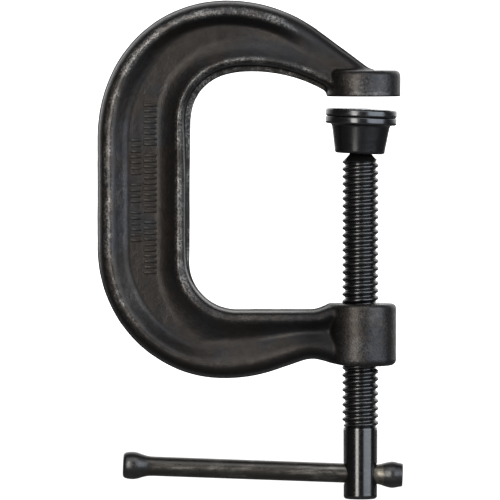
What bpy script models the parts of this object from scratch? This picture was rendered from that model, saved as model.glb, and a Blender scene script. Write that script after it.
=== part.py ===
"""C clamp: a drop-forged frame, an Acme screw with a sliding T-bar, and a swivel pad.

Metres, +Z up. The origin is the centre of the anvil's flat face, on the screw's axis.
The screw runs down -Z, the frame's spine stands on the -X side, and Y is across the forging.
The screw and the frame's boss carry the same right-hand thread, so a turn of the screw by +a about
+Z lifts it by PITCH * a / tau.
"""

import math

import bmesh
import bpy
from mathutils import Matrix

MM = 0.001
WELD = 1e-6

# Thread of the screw: tooth widths are shares of the pitch
PITCH = 2.54 * MM
CREST_RADIUS = 6.25 * MM
ROOT_RADIUS = 5.0 * MM
FLAT_SHARE = 0.14
THREAD_PHASE = -0.88 * MM
NUT_RADIAL_GAP = 0.25 * MM
NUT_AXIAL_GAP = 0.1 * MM
TURN_STEPS = 16

# Frame: the C's outline, seen along +Y
SPINE_OUTER_X = -90.6 * MM
SPINE_INNER_X = -59.15 * MM
CROWN = (-45.7 * MM, 32.95 * MM)
KEEL = (-47.1 * MM, -97.2 * MM)
UPPER_OUTER_CENTRE_Z = -15.0 * MM
UPPER_OUTER_POWER = 2.09
LOWER_OUTER_CENTRE_Z = -52.0 * MM
LOWER_OUTER_POWER = 2.0
UPPER_INNER_CENTRE = (-38.1 * MM, -10.0 * MM)
UPPER_INNER_TOP_Z = 9.1 * MM
UPPER_INNER_POWER = 2.3
LOWER_INNER_CENTRE = (-42.6 * MM, -56.85 * MM)
LOWER_INNER_Z = -73.45 * MM
TOP_ARM_RADIUS = 52.0 * MM
TOP_ARM_SLOPE = -0.742
THROAT_ARM_RADIUS = 50.0 * MM
KEEL_RADIUS = 55.0 * MM
KEEL_SLOPE = 0.338
NOTCH = (-17.0 * MM, -90.1 * MM)
FOOT_SLOPE = -0.24
FILLET_X = -15.3 * MM
FILLET_SLOPE = 0.42
TOP_ARM_END_X = 4.5 * MM
LOW_ARM_END_X = -4.0 * MM
ARM_END_INNER_Z = 1.5 * MM
ARM_END_SINK = 0.7 * MM
ARM_BLEND = 0.6 * MM
FOOT_SINK = 0.2 * MM
NOTCH_BLEND = 0.3 * MM
RAMP_SINK = 0.3 * MM
RAMP_BLEND = 0.2 * MM
ARM_STATIONS = 16
CORNER_STATIONS = 13
LOW_ARM_STATIONS = 14

# Frame: the I section
RIB_HALF = 8.0 * MM
WEB_HALF = 3.5 * MM
FADED_RIB_HALF = 7.2 * MM
FADED_WEB_HALF = 5.8 * MM
FADE_START_X = -34.0 * MM
FADE_END_X = -8.0 * MM

# Anvil and threaded boss
ANVIL_X = 1.0 * MM
ANVIL_RADIUS = 12.75 * MM
ANVIL_HEIGHT = 9.0 * MM
ANVIL_TOP_ROUND = 2.0 * MM
ANVIL_FACE_CHAMFER = 0.5 * MM
BOSS_X = 0.3 * MM
BOSS_RADIUS = 11.9 * MM
BOSS_TOP_Z = -71.3 * MM
BOSS_BOTTOM_Z = -92.8 * MM
BOSS_RIM_ROUND = 1.5 * MM

# Swivel pad, measured down from its face
PAD_FACE_Z = -4.5 * MM
PAD_TILT = math.radians(2.4)
PIVOT_DROP = 7.9 * MM
PAD_HEIGHT = 14.9 * MM
RIM_RADIUS = 12.05 * MM
SEAM_DROP = 2.2 * MM
FLANGE_DROP = 4.4 * MM
SKIRT_TOP_RADIUS = 9.9 * MM
SKIRT_FOOT_RADIUS = 8.4 * MM
SKIRT_FOOT_ROUND = 0.9 * MM
UNDERCUT = 0.3 * MM
SOCKET_RADIUS = 6.8 * MM
SOCKET_FLOOR_DROP = 11.0 * MM
NECK_HOLE_RADIUS = 4.45 * MM
SPIGOT_DROP = 3.5 * MM
GAP = 0.3 * MM

# Screw below and above its thread
PIVOT_Z = PAD_FACE_Z - PIVOT_DROP
TIP_RADIUS = 4.1 * MM
GROOVE_RADIUS = 3.2 * MM
GROOVE_TOP_DROP = 1.0 * MM
GROOVE_BOTTOM_DROP = 2.8 * MM
NECK_RADIUS = 3.6 * MM
NECK_END_Z = -19.6 * MM
CORE_RADIUS = 4.85 * MM
CORE_TAPER = 1.45 * MM
THREAD_START_DROP = 0.05 * MM
THREAD_END_Z = -114.4 * MM
HEAD_SHOULDER = 0.9 * MM
RUN_OUT = 1.9 * MM
WELL_INSIDE = 0.2 * MM
TRIM_MARGIN = 0.5 * MM
HEAD_RADIUS = 5.7 * MM
HEAD_FOOT_RADIUS = 5.58 * MM
HEAD_END_Z = -138.9 * MM
HEAD_CHAMFER = (0.4 * MM, 0.5 * MM)

# Retaining ring on the tip's groove
RING_INNER_RADIUS = 3.5 * MM
RING_OUTER_RADIUS = 6.0 * MM
RING_HEIGHT = 1.2 * MM
RING_SPLIT = 1.6 * MM

# Sliding T-bar
BAR_Z = -129.9 * MM
BAR_TILT = math.radians(2.05)
BAR_HOLE_RADIUS = 3.75 * MM
LEFT_END = -82.0 * MM
RIGHT_END = 14.6 * MM
# upset ends: (radius, distance from the end), in millimetres
RIGHT_KNOB = ((3.85, 0.0), (4.3, 1.6), (4.56, 3.2), (4.4, 4.8), (3.8, 7.0), (3.4, 8.0), (3.22, 8.4))
LEFT_KNOB = (
    (3.22, 11.0),
    (3.45, 8.6),
    (4.0, 6.6),
    (4.55, 4.9),
    (4.7, 3.2),
    (4.5, 1.4),
    (4.0, 0.5),
    (3.3, 0.0),
)

ROUND_STEPS = 32
BAR_STEPS = 24
RIM_STEPS = 3
BEAD_STEPS = 6
TIP_STEPS = 8
SHARP_ANGLE = math.radians(35.0)
OBJECT_NAME = "c_clamp"
CUTTERS_NAME = "cutters"


# --- scene and small helpers ---------------------------------------------------------------


def clear_scene():
    for obj in list(bpy.data.objects):
        bpy.data.objects.remove(obj)


def new_collection(name):
    collection = bpy.data.collections.new(name)
    bpy.context.scene.collection.children.link(collection)
    return collection


def place(name, mesh, collection):
    obj = bpy.data.objects.new(name, mesh)
    collection.objects.link(obj)
    return obj


def hide_helper(obj):
    obj.hide_render = True
    obj.display_type = "WIRE"
    return obj


def mesh_from(bm, name):
    bmesh.ops.recalc_face_normals(bm, faces=bm.faces)
    mesh = bpy.data.meshes.new(name)
    bm.to_mesh(mesh)
    bm.free()
    return mesh


def turned(name, profile, collection, steps=ROUND_STEPS):
    """A lathe shape. profile is a list of (radius, z), from the top down its outer side."""
    mesh = bpy.data.meshes.new(name)
    points = [(radius, 0.0, z) for radius, z in profile]
    mesh.from_pydata(points, [(i, i + 1) for i in range(len(points) - 1)], [])
    obj = place(name, mesh, collection)
    lathe = obj.modifiers.new("turned", "SCREW")
    lathe.steps = steps
    lathe.render_steps = steps
    lathe.use_merge_vertices = True
    lathe.merge_threshold = WELD
    return obj


def combine(obj, other, operation):
    cut = obj.modifiers.new(f"{operation.lower()} {other.name}", "BOOLEAN")
    cut.operation = operation
    cut.object = other


def arc(centre, radius, start, end, count):
    """count + 1 points (x, z) on a circle, from the start angle to the end angle in degrees."""
    return superellipse(centre, radius, radius, 2.0, start, end, count)


def superellipse(centre, half_x, half_z, power, start, end, count):
    points = []
    for i in range(count + 1):
        angle = math.radians(start + (end - start) * i / count)
        across = math.copysign(abs(math.cos(angle)) ** (2.0 / power), math.cos(angle))
        up = math.copysign(abs(math.sin(angle)) ** (2.0 / power), math.sin(angle))
        points.append((centre[0] + half_x * across, centre[1] + half_z * up))
    return points


def spread(start, end, count):
    return [start + (end - start) * i / count for i in range(count + 1)]


def blend_min(a, b, soften):
    """The smaller of two heights, with the corner where they cross rounded off."""
    return 0.5 * (a + b) - math.hypot(0.5 * (a - b), soften)


def blend_max(a, b, soften):
    return -blend_min(-a, -b, soften)


# --- helical thread ------------------------------------------------------------------------


def tooth_profile(radial_gap, axial_gap):
    """One pitch of the thread as (radius, z), from the middle of a root to the next one."""
    crest = CREST_RADIUS + radial_gap
    root = ROOT_RADIUS + radial_gap
    half_crest = FLAT_SHARE * PITCH + axial_gap
    half_foot = (0.5 - FLAT_SHARE) * PITCH + axial_gap
    return [
        (root, -0.5 * PITCH),
        (root, -half_foot),
        (crest, -half_crest),
        (crest, half_crest),
        (root, half_foot),
        (root, 0.5 * PITCH),
    ]


def cap_open_ends(bm):
    """Closes each open helical end with a fan of triangles from a point on the axis."""
    for low_end in (True, False):
        edges = [edge for edge in bm.edges if edge.is_boundary]
        middle = sum(v.co.z for v in bm.verts) / len(bm.verts)
        mine = [edge for edge in edges if (edge.verts[0].co.z < middle) == low_end]
        heights = [v.co.z for edge in mine for v in edge.verts]
        hub = bm.verts.new((0.0, 0.0, 0.5 * (min(heights) + max(heights))))
        for edge in mine:
            bm.faces.new((edge.verts[0], edge.verts[1], hub))


def threaded_rod(name, top_z, bottom_z, radial_gap, axial_gap, collection):
    """A rod with a right-hand helical thread, its teeth in phase with every other such rod."""
    turns = math.ceil((top_z - bottom_z) / PITCH)
    first = THREAD_PHASE + PITCH * math.floor((bottom_z - THREAD_PHASE) / PITCH)
    bm = bmesh.new()
    verts = [bm.verts.new((r, 0.0, first + z)) for r, z in tooth_profile(radial_gap, axial_gap)]
    edges = [bm.edges.new(pair) for pair in zip(verts, verts[1:])]
    bmesh.ops.spin(
        bm,
        geom=verts + edges,
        axis=(0.0, 0.0, 1.0),
        cent=(0.0, 0.0, 0.0),
        dvec=(0.0, 0.0, PITCH / TURN_STEPS),
        angle=math.tau * turns,
        steps=TURN_STEPS * turns,
    )
    bmesh.ops.remove_doubles(bm, verts=bm.verts, dist=WELD)
    cap_open_ends(bm)
    return place(name, mesh_from(bm, name), collection)


# --- frame ---------------------------------------------------------------------------------


def top_arm_outer_z(x):
    """The arm's back: an arc from the crown, a straight slope, then a hollow into the anvil's top."""
    bend = math.sin(math.atan(-TOP_ARM_SLOPE)) * TOP_ARM_RADIUS
    run = x - CROWN[0]
    centre_z = CROWN[1] - TOP_ARM_RADIUS
    if run <= bend:
        return centre_z + math.sqrt(TOP_ARM_RADIUS**2 - run**2)
    slope_z = centre_z + math.sqrt(TOP_ARM_RADIUS**2 - bend**2) + TOP_ARM_SLOPE * (run - bend)
    return blend_max(slope_z, ANVIL_HEIGHT - ARM_END_SINK, ARM_BLEND)


def top_arm_inner_z(x):
    run = x - UPPER_INNER_CENTRE[0]
    centre_z = UPPER_INNER_TOP_Z - THROAT_ARM_RADIUS
    return max(centre_z + math.sqrt(THROAT_ARM_RADIUS**2 - run**2), ARM_END_INNER_Z)


def low_arm_outer_z(x):
    """The arm's back: an arc from the keel, a straight slope up, then a slope down under the boss."""
    bend = math.sin(math.atan(KEEL_SLOPE)) * KEEL_RADIUS
    run = x - KEEL[0]
    centre_z = KEEL[1] + KEEL_RADIUS
    if run <= bend:
        return centre_z - math.sqrt(KEEL_RADIUS**2 - run**2)
    slope_z = centre_z - math.sqrt(KEEL_RADIUS**2 - bend**2) + KEEL_SLOPE * (run - bend)
    foot_z = max(NOTCH[1] + FOOT_SLOPE * (x - NOTCH[0]), BOSS_BOTTOM_Z + FOOT_SINK)
    return blend_min(slope_z, foot_z, NOTCH_BLEND)


def low_arm_inner_z(x):
    """Level, then a short ramp up to the boss's top."""
    ramp_z = LOWER_INNER_Z + FILLET_SLOPE * (x - FILLET_X)
    return min(blend_max(ramp_z, LOWER_INNER_Z, RAMP_BLEND), BOSS_TOP_Z - RAMP_SINK)


def frame_outlines():
    """Matching points (x, z) along the C's outer and inner edges, from the anvil to the boss."""
    outer_arm = spread(TOP_ARM_END_X, CROWN[0], ARM_STATIONS)
    outer = [(x, top_arm_outer_z(x)) for x in outer_arm]
    inner_arm = spread(TOP_ARM_END_X, UPPER_INNER_CENTRE[0], ARM_STATIONS)
    inner = [(x, top_arm_inner_z(x)) for x in inner_arm]
    outer += superellipse(
        (CROWN[0], UPPER_OUTER_CENTRE_Z),
        CROWN[0] - SPINE_OUTER_X,
        CROWN[1] - UPPER_OUTER_CENTRE_Z,
        UPPER_OUTER_POWER,
        90.0,
        180.0,
        CORNER_STATIONS,
    )[1:]
    inner += superellipse(
        UPPER_INNER_CENTRE,
        UPPER_INNER_CENTRE[0] - SPINE_INNER_X,
        UPPER_INNER_TOP_Z - UPPER_INNER_CENTRE[1],
        UPPER_INNER_POWER,
        90.0,
        180.0,
        CORNER_STATIONS,
    )[1:]
    outer += superellipse(
        (KEEL[0], LOWER_OUTER_CENTRE_Z),
        KEEL[0] - SPINE_OUTER_X,
        LOWER_OUTER_CENTRE_Z - KEEL[1],
        LOWER_OUTER_POWER,
        180.0,
        270.0,
        CORNER_STATIONS,
    )
    throat_radius = LOWER_INNER_CENTRE[1] - LOWER_INNER_Z
    inner += arc(LOWER_INNER_CENTRE, throat_radius, 180.0, 270.0, CORNER_STATIONS)
    outer_arm = spread(KEEL[0], LOW_ARM_END_X, LOW_ARM_STATIONS)[1:]
    outer += [(x, low_arm_outer_z(x)) for x in outer_arm]
    inner_arm = spread(LOWER_INNER_CENTRE[0], LOW_ARM_END_X, LOW_ARM_STATIONS)[1:]
    inner += [(x, low_arm_inner_z(x)) for x in inner_arm]
    return outer, inner


def rib_section(rib, web):
    """Half of the I section: (share of the width from the outer edge, half thickness)."""
    return [
        (0.0, 0.0),
        (0.02, 0.45 * rib),
        (0.05, 0.8 * rib),
        (0.09, rib),
        (0.14, rib),
        (0.29, web),
        (0.69, web),
        (0.85, 0.95 * rib),
        (0.94, rib),
        (0.975, 0.7 * rib),
        (1.0, 0.0),
    ]


def section_ring(outer_x, outer_z):
    """The whole I section at a station. Towards the anvil its ribs sink and its web thickens."""
    fade = 0.0
    if outer_z > 0.0:
        fade = (outer_x - FADE_START_X) / (FADE_END_X - FADE_START_X)
    fade = min(max(fade, 0.0), 1.0)
    rib = RIB_HALF + fade * (FADED_RIB_HALF - RIB_HALF)
    web = WEB_HALF + fade * (FADED_WEB_HALF - WEB_HALF)
    half = rib_section(rib, web)
    return half + [(share, -thick) for share, thick in reversed(half[1:-1])]


def c_body_mesh():
    """The C: the I section lofted along the outlines."""
    outer, inner = frame_outlines()
    bm = bmesh.new()
    rings = []
    for (ox, oz), (ix, iz) in zip(outer, inner):
        ring = []
        for share, thick in section_ring(ox, oz):
            ring.append(bm.verts.new((ox + (ix - ox) * share, thick, oz + (iz - oz) * share)))
        rings.append(ring)
    count = len(rings[0])
    for near, far in zip(rings, rings[1:]):
        for i in range(count):
            j = (i + 1) % count
            bm.faces.new((near[i], near[j], far[j], far[i]))
    bm.faces.new(rings[0])
    bm.faces.new(rings[-1])
    return mesh_from(bm, "frame")


def anvil_profile():
    """A solid disc's lathe profile: a rounded top rim and a small chamfer round the face."""
    edge = ANVIL_TOP_ROUND
    return [
        (0.0, ANVIL_HEIGHT),
        *arc((ANVIL_RADIUS - edge, ANVIL_HEIGHT - edge), edge, 90.0, 0.0, RIM_STEPS),
        (ANVIL_RADIUS, ANVIL_FACE_CHAMFER),
        (ANVIL_RADIUS - ANVIL_FACE_CHAMFER, 0.0),
        (0.0, 0.0),
    ]


def boss_profile():
    """A solid disc's lathe profile with both rims rounded."""
    edge = BOSS_RIM_ROUND
    return [
        (0.0, BOSS_TOP_Z),
        *arc((BOSS_RADIUS - edge, BOSS_TOP_Z - edge), edge, 90.0, 0.0, RIM_STEPS),
        *arc((BOSS_RADIUS - edge, BOSS_BOTTOM_Z + edge), edge, 0.0, -90.0, RIM_STEPS),
        (0.0, BOSS_BOTTOM_Z),
    ]


def build_frame(parts, cutters):
    frame = place("frame", c_body_mesh(), parts)
    anvil = hide_helper(turned("anvil_blank", anvil_profile(), cutters))
    anvil.location.x = ANVIL_X
    boss = hide_helper(turned("boss_blank", boss_profile(), cutters))
    boss.location.x = BOSS_X
    tap = threaded_rod(
        "boss_tap",
        BOSS_TOP_Z + 2 * PITCH,
        BOSS_BOTTOM_Z - 2 * PITCH,
        NUT_RADIAL_GAP,
        NUT_AXIAL_GAP,
        cutters,
    )
    hide_helper(tap)
    combine(frame, anvil, "UNION")
    combine(frame, boss, "UNION")
    combine(frame, tap, "DIFFERENCE")
    return frame


# --- screw ---------------------------------------------------------------------------------


def screw_core_profile():
    """The ball tip with its ring groove, the neck, the core under the thread, and the head."""
    groove_top = PIVOT_Z - GROOVE_TOP_DROP
    shoulder = math.degrees(math.asin(GROOVE_TOP_DROP / TIP_RADIUS))
    profile = arc((0.0, PIVOT_Z), TIP_RADIUS, 90.0, -shoulder, TIP_STEPS)
    profile[0] = (0.0, PIVOT_Z + TIP_RADIUS)
    return profile + [
        (GROOVE_RADIUS, groove_top),
        (GROOVE_RADIUS, PIVOT_Z - GROOVE_BOTTOM_DROP),
        (NECK_RADIUS, PIVOT_Z - GROOVE_BOTTOM_DROP),
        (NECK_RADIUS, NECK_END_Z),
        (CORE_RADIUS, NECK_END_Z - CORE_TAPER),
        (CORE_RADIUS, THREAD_END_Z + HEAD_SHOULDER),
        (HEAD_RADIUS, THREAD_END_Z),
        (HEAD_FOOT_RADIUS, HEAD_END_Z + HEAD_CHAMFER[1]),
        (HEAD_FOOT_RADIUS - HEAD_CHAMFER[0], HEAD_END_Z),
        (0.0, HEAD_END_Z),
    ]


def thread_envelope_profile():
    """What the thread is trimmed to: a lead-in cone at the neck and a run-out at the head."""
    over = CREST_RADIUS + TRIM_MARGIN
    lead = over - NECK_RADIUS
    start_z = NECK_END_Z + THREAD_START_DROP
    end_z = THREAD_END_Z - WELL_INSIDE
    return [
        (0.0, start_z),
        (NECK_RADIUS - WELL_INSIDE, start_z),
        (over, NECK_END_Z - lead),
        (over, end_z + RUN_OUT),
        (CORE_RADIUS - WELL_INSIDE, end_z),
        (0.0, end_z),
    ]


def build_screw(parts, cutters):
    screw = turned("screw", screw_core_profile(), parts)
    thread = threaded_rod(
        "screw_thread", NECK_END_Z + PITCH, THREAD_END_Z - 2 * PITCH, 0.0, 0.0, cutters
    )
    envelope = turned("thread_envelope", thread_envelope_profile(), cutters)
    hole = turned(
        "bar_hole",
        [
            (0.0, 2 * HEAD_RADIUS),
            (BAR_HOLE_RADIUS, 2 * HEAD_RADIUS),
            (BAR_HOLE_RADIUS, -2 * HEAD_RADIUS),
            (0.0, -2 * HEAD_RADIUS),
        ],
        cutters,
        BAR_STEPS,
    )
    hole.matrix_world = Matrix.Translation((0.0, 0.0, BAR_Z)) @ Matrix.Rotation(math.pi / 2, 4, "Y")
    for helper in (thread, envelope, hole):
        hide_helper(helper)
    combine(thread, envelope, "INTERSECT")
    combine(screw, thread, "UNION")
    combine(screw, hole, "DIFFERENCE")
    return screw


# --- swivel pad ----------------------------------------------------------------------------


def pad_pivot(parts):
    """An empty on the tilt axis: the pad's pieces hang on it in their own frame."""
    pivot = place("pad_pivot", None, parts)
    pivot.matrix_world = Matrix.Translation((0.0, 0.0, PIVOT_Z)) @ Matrix.Rotation(PAD_TILT, 4, "Y")
    return pivot


def drop(down):
    """The height, above the pivot, of a point this far below the pad's face."""
    return PIVOT_DROP - down


def build_pad_body(parts, pivot):
    bead = 0.5 * (FLANGE_DROP - SEAM_DROP - GAP)
    bead_z = drop(FLANGE_DROP) + bead
    profile = [(SOCKET_RADIUS, drop(SEAM_DROP + GAP))]
    foot_centre = (SKIRT_FOOT_RADIUS - SKIRT_FOOT_ROUND, drop(PAD_HEIGHT - SKIRT_FOOT_ROUND))
    profile += arc((RIM_RADIUS - bead, bead_z), bead, 90.0, -90.0, BEAD_STEPS)
    profile += [
        (SKIRT_TOP_RADIUS, drop(FLANGE_DROP + UNDERCUT)),
        *arc(foot_centre, SKIRT_FOOT_ROUND, 0.0, -90.0, RIM_STEPS),
        (NECK_HOLE_RADIUS, drop(PAD_HEIGHT)),
        (NECK_HOLE_RADIUS, drop(SOCKET_FLOOR_DROP)),
        (SOCKET_RADIUS, drop(SOCKET_FLOOR_DROP)),
        (SOCKET_RADIUS, drop(SEAM_DROP + GAP)),
    ]
    body = turned("pad_body", profile, parts)
    body.parent = pivot
    return body


def build_pad_face_plate(parts, pivot):
    bead = 0.5 * SEAM_DROP
    spigot = SOCKET_RADIUS - GAP
    profile = [(0.0, drop(0.0))]
    profile += arc((RIM_RADIUS - bead, drop(bead)), bead, 90.0, -90.0, BEAD_STEPS)
    profile += [
        (spigot, drop(SEAM_DROP)),
        (spigot, drop(SPIGOT_DROP)),
        (0.0, drop(SPIGOT_DROP)),
    ]
    plate = turned("pad_face_plate", profile, parts)
    plate.parent = pivot
    return plate


def build_retaining_ring(parts, cutters):
    """A split ring on the tip: the pad's socket floor hangs on it."""
    middle = -0.5 * (GROOVE_TOP_DROP + GROOVE_BOTTOM_DROP)
    half = 0.5 * RING_HEIGHT
    profile = [
        (RING_INNER_RADIUS, middle + half),
        (RING_OUTER_RADIUS, middle + half),
        (RING_OUTER_RADIUS, middle - half),
        (RING_INNER_RADIUS, middle - half),
        (RING_INNER_RADIUS, middle + half),
    ]
    ring = turned("pad_retaining_ring", profile, parts, BAR_STEPS)
    ring.location.z = PIVOT_Z
    bm = bmesh.new()
    bmesh.ops.create_cube(bm, size=1.0)
    split = hide_helper(place("ring_split", mesh_from(bm, "ring_split"), cutters))
    split.scale = (RING_OUTER_RADIUS, RING_SPLIT, 3 * RING_HEIGHT)
    split.location = (RING_OUTER_RADIUS, 0.0, PIVOT_Z + middle)
    combine(ring, split, "DIFFERENCE")
    return ring


# --- T-bar ---------------------------------------------------------------------------------


def bar_profile():
    """(radius, distance along the bar), from the right end, which becomes the top, to the left."""
    right_knob = [(r * MM, RIGHT_END - along * MM) for r, along in RIGHT_KNOB]
    left_knob = [(r * MM, LEFT_END + along * MM) for r, along in LEFT_KNOB]
    return [(0.0, RIGHT_END)] + right_knob + left_knob + [(0.0, LEFT_END)]


def build_bar(parts):
    bar = turned("handle_bar", bar_profile(), parts, BAR_STEPS)
    lie_down = Matrix.Rotation(math.pi / 2 + BAR_TILT, 4, "Y")
    bar.matrix_world = Matrix.Translation((0.0, 0.0, BAR_Z)) @ lie_down
    return bar


# --- materials -----------------------------------------------------------------------------


def steel(name, colour, roughness, metallic):
    """A Principled material for one piece of oxide-blackened steel."""
    material = bpy.data.materials.new(name)
    material.use_nodes = True
    shader = material.node_tree.nodes["Principled BSDF"]
    shader.inputs["Base Color"].default_value = (*colour, 1.0)
    shader.inputs["Roughness"].default_value = roughness
    shader.inputs["Metallic"].default_value = metallic
    material.diffuse_color = (*colour, 1.0)
    return material


def finish(obj, material):
    obj.data.materials.append(material)
    obj.data.shade_smooth()
    obj.data.set_sharp_from_angle(angle=SHARP_ANGLE)


def main():
    clear_scene()
    parts = new_collection(OBJECT_NAME)
    cutters = new_collection(CUTTERS_NAME)
    pivot = pad_pivot(parts)
    finish(build_frame(parts, cutters), steel("forged_frame", (0.035, 0.031, 0.028), 0.5, 0.6))
    finish(build_screw(parts, cutters), steel("screw_steel", (0.02, 0.02, 0.021), 0.3, 0.8))
    finish(build_pad_body(parts, pivot), steel("pad_steel", (0.012, 0.012, 0.014), 0.25, 0.8))
    plate = build_pad_face_plate(parts, pivot)
    finish(plate, steel("pad_face_steel", (0.014, 0.014, 0.016), 0.3, 0.8))
    ring = build_retaining_ring(parts, cutters)
    finish(ring, steel("spring_steel", (0.05, 0.05, 0.05), 0.35, 0.9))
    finish(build_bar(parts), steel("bar_steel", (0.03, 0.028, 0.025), 0.35, 0.8))


main()
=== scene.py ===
"""Looks of the C clamp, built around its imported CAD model.

Shapes are worked out in millimetres, in the CAD model's own frame: the origin is the centre of the
anvil's face, +Z is up the screw, the spine stands on the -X side and Y is across the forging.
Meshes are turned into metres as they are made.
"""

import math

import bmesh
import bpy
import numpy as np
from mathutils import Matrix, Vector


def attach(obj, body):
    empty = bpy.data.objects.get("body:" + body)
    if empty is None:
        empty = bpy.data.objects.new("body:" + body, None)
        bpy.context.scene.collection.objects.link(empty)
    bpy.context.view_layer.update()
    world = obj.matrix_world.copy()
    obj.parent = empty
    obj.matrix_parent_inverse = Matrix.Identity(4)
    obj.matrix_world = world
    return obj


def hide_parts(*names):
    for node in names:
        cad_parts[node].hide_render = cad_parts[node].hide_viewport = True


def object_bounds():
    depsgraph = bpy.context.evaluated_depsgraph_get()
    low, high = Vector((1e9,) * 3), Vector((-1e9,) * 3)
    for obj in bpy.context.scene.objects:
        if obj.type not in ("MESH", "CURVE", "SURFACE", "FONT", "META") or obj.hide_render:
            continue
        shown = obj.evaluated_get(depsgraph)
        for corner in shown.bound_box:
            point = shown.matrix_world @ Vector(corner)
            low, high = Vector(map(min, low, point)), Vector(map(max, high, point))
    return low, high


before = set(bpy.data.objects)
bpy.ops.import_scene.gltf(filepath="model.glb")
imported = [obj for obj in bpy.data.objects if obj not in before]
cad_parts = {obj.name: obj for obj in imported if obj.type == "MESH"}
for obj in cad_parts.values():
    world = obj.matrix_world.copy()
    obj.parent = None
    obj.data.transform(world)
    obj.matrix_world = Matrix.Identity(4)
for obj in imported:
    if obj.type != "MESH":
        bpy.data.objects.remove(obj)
CAD_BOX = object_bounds()

# One millimetre, in metres
MM = 0.001

# Frame: the C's outline, seen along +Y, as in the CAD model
SPINE_OUTER_X, SPINE_INNER_X = -90.6, -59.15
CROWN = (-45.7, 32.95)
KEEL = (-47.1, -97.2)
UPPER_OUTER_CENTRE_Z, UPPER_OUTER_POWER = -15.0, 2.09
LOWER_OUTER_CENTRE_Z, LOWER_OUTER_POWER = -52.0, 2.0
UPPER_INNER_CENTRE = (-38.1, -10.0)
UPPER_INNER_TOP_Z, UPPER_INNER_POWER = 9.1, 2.3
LOWER_INNER_CENTRE = (-42.6, -56.85)
LOWER_INNER_Z = -73.45
TOP_ARM_RADIUS, TOP_ARM_SLOPE = 52.0, -0.742
THROAT_ARM_RADIUS = 50.0
KEEL_RADIUS, KEEL_SLOPE = 55.0, 0.338
NOTCH, FOOT_SLOPE = (-17.0, -90.1), -0.24
FILLET_X, FILLET_SLOPE = -15.3, 0.42
TOP_ARM_END_X, LOW_ARM_END_X = 4.5, -4.0
OUTLINE_POINTS = 150

# Frame: half its thickness at the ribs and the web, and its drafted walls' roundings
RIB_HALF, WEB_HALF = 8.0, 3.7
DRAFT = math.radians(6.0)
OUTER_LIP, OUTER_ROUND = 0.1, 4.6
INNER_LIP, INNER_ROUND = 0.8, 2.2
LIP_HALF, LIP_OUT, LIP_ROUND = 1.5, 0.32, 0.5

# Frame: each rib's width, and the width of the cove that runs from it down to the web
OUTER_RIB, OUTER_COVE = 3.9, 7.1
INNER_RIB, INNER_COVE, INNER_SWEEP = 3.6, 8.2, 0.68
NARROWEST_ROOM = 3.0

# Frame: how far the web rises, and the ribs sink, towards the anvil and the boss
ANVIL_WEB_RISE, ANVIL_RIB_DROP, BOSS_WEB_RISE = 1.9, 0.6, 1.1

# Anvil and threaded boss
ANVIL = {"x": 1.0, "radius": 12.75, "top": 9.0, "bottom": 0.0, "rounds": (2.0, 0.5)}
BOSS = {"x": 0.4, "radius": 12.0, "top": -71.4, "bottom": -92.8, "rounds": (1.6, 2.1)}
ANVIL_FILLET, BOSS_FILLET = 1.3, 0.9

# The grid that the forging is sampled on, and how its points are then moved onto its surface
NET_PITCH = 0.42
NET_MARGIN = 1.6
SLOPE_STEP, MOVES, LONGEST_MOVE = 0.05, 3, 0.3

# How uneven the forging is, and how far out from it a hollow's sides are felt, for the painted shade
# in its hollows
WAVE_DEPTH, SHADE_REACH = 0.11, 3.0

# Raised ticks on the web
TICK_PITCH, TICK_WIDTH, TICK_HEIGHT, TICK_ROOT = 1.92, 1.15, 0.4, 0.25
TICK_ROWS = (
    {"x": -72.4, "length": 4.6, "top": -3.0, "count": 31, "gaps": (8, 20)},
    {"x": -77.4, "length": 3.8, "top": -15.0, "count": 19, "gaps": (7, 12)},
)
TICK_CORNERS = 20

# Thread
PITCH = 2.54
CREST_RADIUS, ROOT_RADIUS = 6.3, 5.3
CREST_FULLNESS, TOOTH_SQUARENESS = 0.2, 0.07
THREAD_PHASE = -0.88
NUT_RADIAL_GAP = 0.25
TURN_STEPS = 64
TOOTH_STEPS = 16

# Screw: its ball tip, grooved for the ring, its neck, its thread's run and its head
PIVOT_Z = -12.4
TIP_RADIUS, GROOVE_RADIUS, NECK_RADIUS = 4.1, 3.2, 3.6
GROOVE_TOP_Z, GROOVE_BOTTOM_Z = PIVOT_Z - 1.0, PIVOT_Z - 2.8
NECK_BOTTOM_Z = -19.6
CORE_RADIUS, THREAD_CLEAR_RADIUS = 4.85, 6.75
HEAD_TOP_Z, HEAD_BOTTOM_Z, HEAD_RADIUS = -114.2, -138.9, 5.85

# Pad: its pivot is that far under the middle of its face
PIVOT_DROP, PAD_HEIGHT = 7.9, 15.2
PAD_TILT = math.radians(2.4)
SOCKET_RADIUS, PAD_MOUTH_RADIUS = 6.8, 4.45
PAD_SHOULDER_Z = PIVOT_Z + PIVOT_DROP - 4.85

# Bar: its ends, measured from the screw's axis, and the hole that it slides in
BAR_Z, BAR_RADIUS, HOLE_RADIUS = -130.25, 3.36, 3.64
BAR_RIGHT, BAR_LEFT = 14.6, -82.0
BAR_TILT = math.radians(2.05)

# The forging's colours, the darkest of them painted shade for its hollows, corners and sunk web
BROWN_OXIDE, BLUE_OXIDE = (0.0152, 0.0130, 0.0116), (0.0134, 0.0144, 0.0164)
PALE_SCALE = (0.027, 0.0225, 0.0195)
# Painted shade's near-black, and rubbed bare steel's grey
SHADE_COLOUR, BARE_STEEL = (0.0042, 0.0036, 0.0033), (0.165, 0.157, 0.150)

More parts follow.
